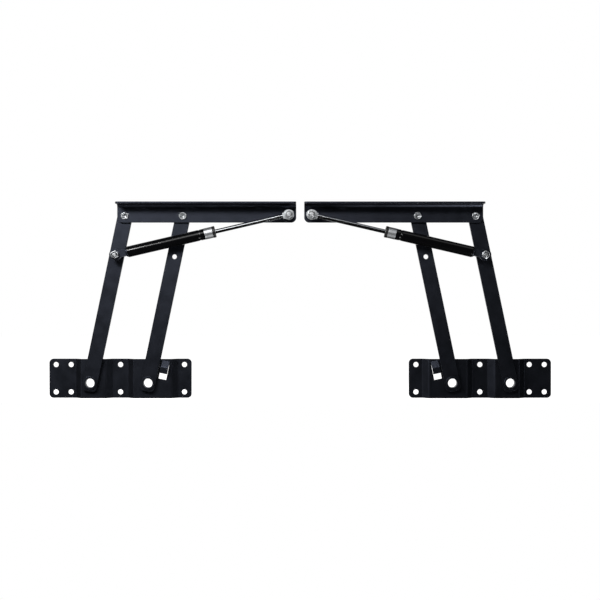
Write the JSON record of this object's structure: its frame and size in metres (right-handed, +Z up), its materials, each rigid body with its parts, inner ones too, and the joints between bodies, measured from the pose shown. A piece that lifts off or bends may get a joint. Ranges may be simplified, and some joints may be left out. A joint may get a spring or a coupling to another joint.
{
  "type": "lift top table mechanism",
  "caption": "Mirrored left and right lift-top brackets: corrugated base plates, parallel arms, L-section top rails and gas struts, shown raised.",
  "frame": {"origin": "midway between the two brackets, at the lower edge of the base plates and the middle of their depth", "axes": "+X to the viewer's right along the pair, +Y into the table's side wall, +Z up; the left bracket is at -X, mirrored about the plane x = 0"},
  "size_m": [0.6984, 0.04, 0.27],
  "materials": {
    "black_coat": "semi-gloss black powder coat on steel sheet",
    "gloss_black": "gloss black stove enamel",
    "black_nylon": "moulded black nylon",
    "nut_nylon": "dark nylon ring of a lock nut",
    "zinc_plate": "bright zinc plate",
    "hard_chrome": "ground hard chrome",
    "silver_foil": "plain silver foil band, bare",
    "bronze_bush": "sintered bronze",
    "black_rubber": "nitrile rubber",
    "piston_aluminium": "turned aluminium"
  },
  "bodies": {
    "base_plates": {"left_base_plate": "black_coat", "left_front_base_eyelet": "black_coat", "left_rear_base_eyelet": "black_coat", "left_front_base_washer": "black_nylon", "left_rear_base_washer": "black_nylon", "right_base_plate": "black_coat", "right_front_base_eyelet": "black_coat", "right_rear_base_eyelet": "black_coat", "right_front_base_washer": "black_nylon", "right_rear_base_washer": "black_nylon"},
    "left_front_link": {"left_front_arm": "black_coat", "left_strut_bolt": "zinc_plate", "left_strut_spacer": "zinc_plate", "left_strut_nut": "zinc_plate", "left_strut_nut_insert": "nut_nylon"},
    "left_rear_link": {"left_rear_arm": "black_coat"},
    "left_top": {"left_top_rail": "black_coat", "left_front_top_rivet": "zinc_plate", "left_rear_top_rivet": "zinc_plate", "left_front_top_washer": "black_nylon", "left_rear_top_washer": "black_nylon", "left_rail_bolt": "zinc_plate", "left_rail_spacer": "zinc_plate"},
    "left_cylinder": {"left_strut_tube": "gloss_black", "left_strut_end_eye": "black_coat", "left_strut_label": "silver_foil", "left_strut_end_cap": "black_nylon", "left_strut_guide": "bronze_bush", "left_strut_seal": "black_rubber"},
    "left_piston_rod": {"left_strut_rod": "hard_chrome", "left_strut_piston": "piston_aluminium", "left_rod_eye": "zinc_plate", "left_rod_pivot": "zinc_plate", "left_rod_nut": "zinc_plate", "left_rod_nut_insert": "nut_nylon"},
    "right_front_link": {"right_front_arm": "black_coat", "right_strut_bolt": "zinc_plate", "right_strut_spacer": "zinc_plate", "right_strut_nut": "zinc_plate", "right_strut_nut_insert": "nut_nylon"},
    "right_rear_link": {"right_rear_arm": "black_coat"},
    "right_top": {"right_top_rail": "black_coat", "right_front_top_rivet": "zinc_plate", "right_rear_top_rivet": "zinc_plate", "right_front_top_washer": "black_nylon", "right_rear_top_washer": "black_nylon", "right_rail_bolt": "zinc_plate", "right_rail_spacer": "zinc_plate"},
    "right_cylinder": {"right_strut_tube": "gloss_black", "right_strut_end_eye": "black_coat", "right_strut_label": "silver_foil", "right_strut_end_cap": "black_nylon", "right_strut_guide": "bronze_bush", "right_strut_seal": "black_rubber"},
    "right_piston_rod": {"right_strut_rod": "hard_chrome", "right_strut_piston": "piston_aluminium", "right_rod_eye": "zinc_plate", "right_rod_pivot": "zinc_plate", "right_rod_nut": "zinc_plate", "right_rod_nut_insert": "nut_nylon"}
  },
  "joints": [
    {"name": "left_lift", "type": "hinge", "parent": "base_plates", "child": "left_front_link", "pos_m": [-0.29016, 0.0069, 0.0215], "axis": [0, -1, 0], "range_deg": [0, 86.85]},
    {"name": "left_rear_pivot", "type": "hinge", "parent": "base_plates", "child": "left_rear_link", "pos_m": [-0.21016, 0.0069, 0.0215], "axis": [0, -1, 0], "range_deg": [0, 86.85]},
    {"name": "left_top_pivot", "type": "hinge", "parent": "left_front_link", "child": "left_top", "pos_m": [-0.2418, 0.0069, 0.25198], "axis": [0, -1, 0], "range_deg": [-86.85, 0]},
    {"name": "left_strut_pivot", "type": "hinge", "parent": "left_front_link", "child": "left_cylinder", "pos_m": [-0.25314, -0.0071, 0.19796], "axis": [0, -1, 0], "range_deg": [-94.82, 0]},
    {"name": "left_rod_slide", "type": "slide", "parent": "left_cylinder", "child": "left_piston_rod", "axis": [0.974, 0, 0.2264], "range_m": [-0.0703, 0]},
    {"name": "right_lift", "type": "hinge", "parent": "base_plates", "child": "right_front_link", "pos_m": [0.29016, 0.0069, 0.0215], "axis": [0, 1, 0], "range_deg": [0, 86.85]},
    {"name": "right_rear_pivot", "type": "hinge", "parent": "base_plates", "child": "right_rear_link", "pos_m": [0.21016, 0.0069, 0.0215], "axis": [0, 1, 0], "range_deg": [0, 86.85]},
    {"name": "right_top_pivot", "type": "hinge", "parent": "right_front_link", "child": "right_top", "pos_m": [0.2418, 0.0069, 0.25198], "axis": [0, 1, 0], "range_deg": [-86.85, 0]},
    {"name": "right_strut_pivot", "type": "hinge", "parent": "right_front_link", "child": "right_cylinder", "pos_m": [0.25314, -0.0071, 0.19796], "axis": [0, 1, 0], "range_deg": [-94.82, 0]},
    {"name": "right_rod_slide", "type": "slide", "parent": "right_cylinder", "child": "right_piston_rod", "axis": [-0.974, 0, 0.2264], "range_m": [-0.0703, 0]}
  ],
  "couplings": [
    {"joint": "left_rear_pivot", "follows": "left_lift", "ratio": 1},
    {"joint": "left_top_pivot", "follows": "left_lift", "ratio": -1},
    {"joint": "left_strut_pivot", "follows": "left_lift", "ratio": -1.0917},
    {"joint": "left_rod_slide", "follows": "left_lift", "m_per_rad": -0.046374},
    {"joint": "right_rear_pivot", "follows": "right_lift", "ratio": 1},
    {"joint": "right_top_pivot", "follows": "right_lift", "ratio": -1},
    {"joint": "right_strut_pivot", "follows": "right_lift", "ratio": -1.0917},
    {"joint": "right_rod_slide", "follows": "right_lift", "m_per_rad": -0.046374}
  ]
}
